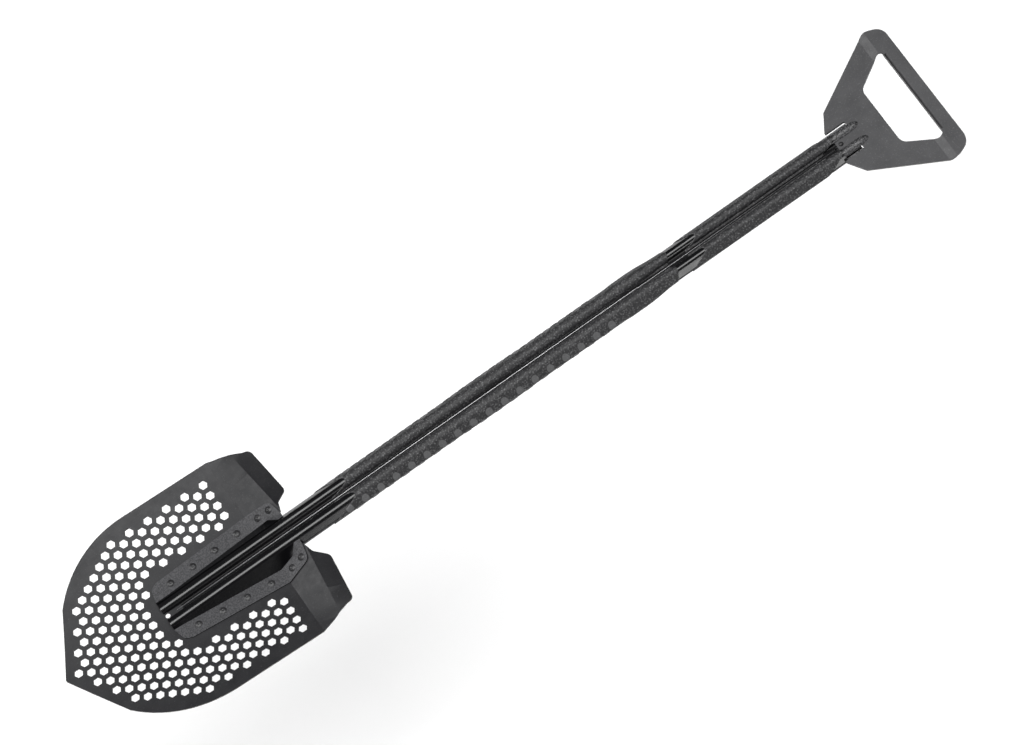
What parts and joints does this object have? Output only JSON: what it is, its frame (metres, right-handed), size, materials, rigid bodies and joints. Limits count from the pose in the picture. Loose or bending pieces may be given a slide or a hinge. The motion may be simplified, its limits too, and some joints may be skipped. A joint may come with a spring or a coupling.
{
  "type": "camp shovel",
  "caption": "Long camp shovel: perforated dished blade with foot treads, two-lobed pressed shaft in textured grips, flat sheet D-handle.",
  "frame": {"origin": "under the middle of the shovel's length and width, on the surface it lies on with its front up", "axes": "+X from the blade's point to the hand grip, +Y to the left seen from the handle's front, +Z out of the shovel's front"},
  "size_m": [0.991, 0.212, 0.027],
  "materials": {
    "blade_steel": "satin charcoal powder coat",
    "shaft_steel": "gloss black enamel",
    "socket_steel": "satin charcoal, gloss black on the walls",
    "rivet_steel": "satin black",
    "pin_steel": "bright steel",
    "grip_texture": "fine textured dark grey coating",
    "handle_steel": "satin charcoal powder coat"
  },
  "bodies": {
    "root": {"blade": "blade_steel", "lower_shaft": "shaft_steel", "upper_shaft": "shaft_steel", "socket_bracket_left": "socket_steel", "socket_bracket_right": "socket_steel", "flange_rivets_left": "rivet_steel", "flange_rivets_right": "rivet_steel", "shoulder_rivets_left": "rivet_steel", "shoulder_rivets_right": "rivet_steel", "joint_pin": "pin_steel", "lower_grip": "grip_texture", "upper_grip": "grip_texture", "handle_plate": "handle_steel", "handle_rivet": "rivet_steel"}
  },
  "joints": []
}
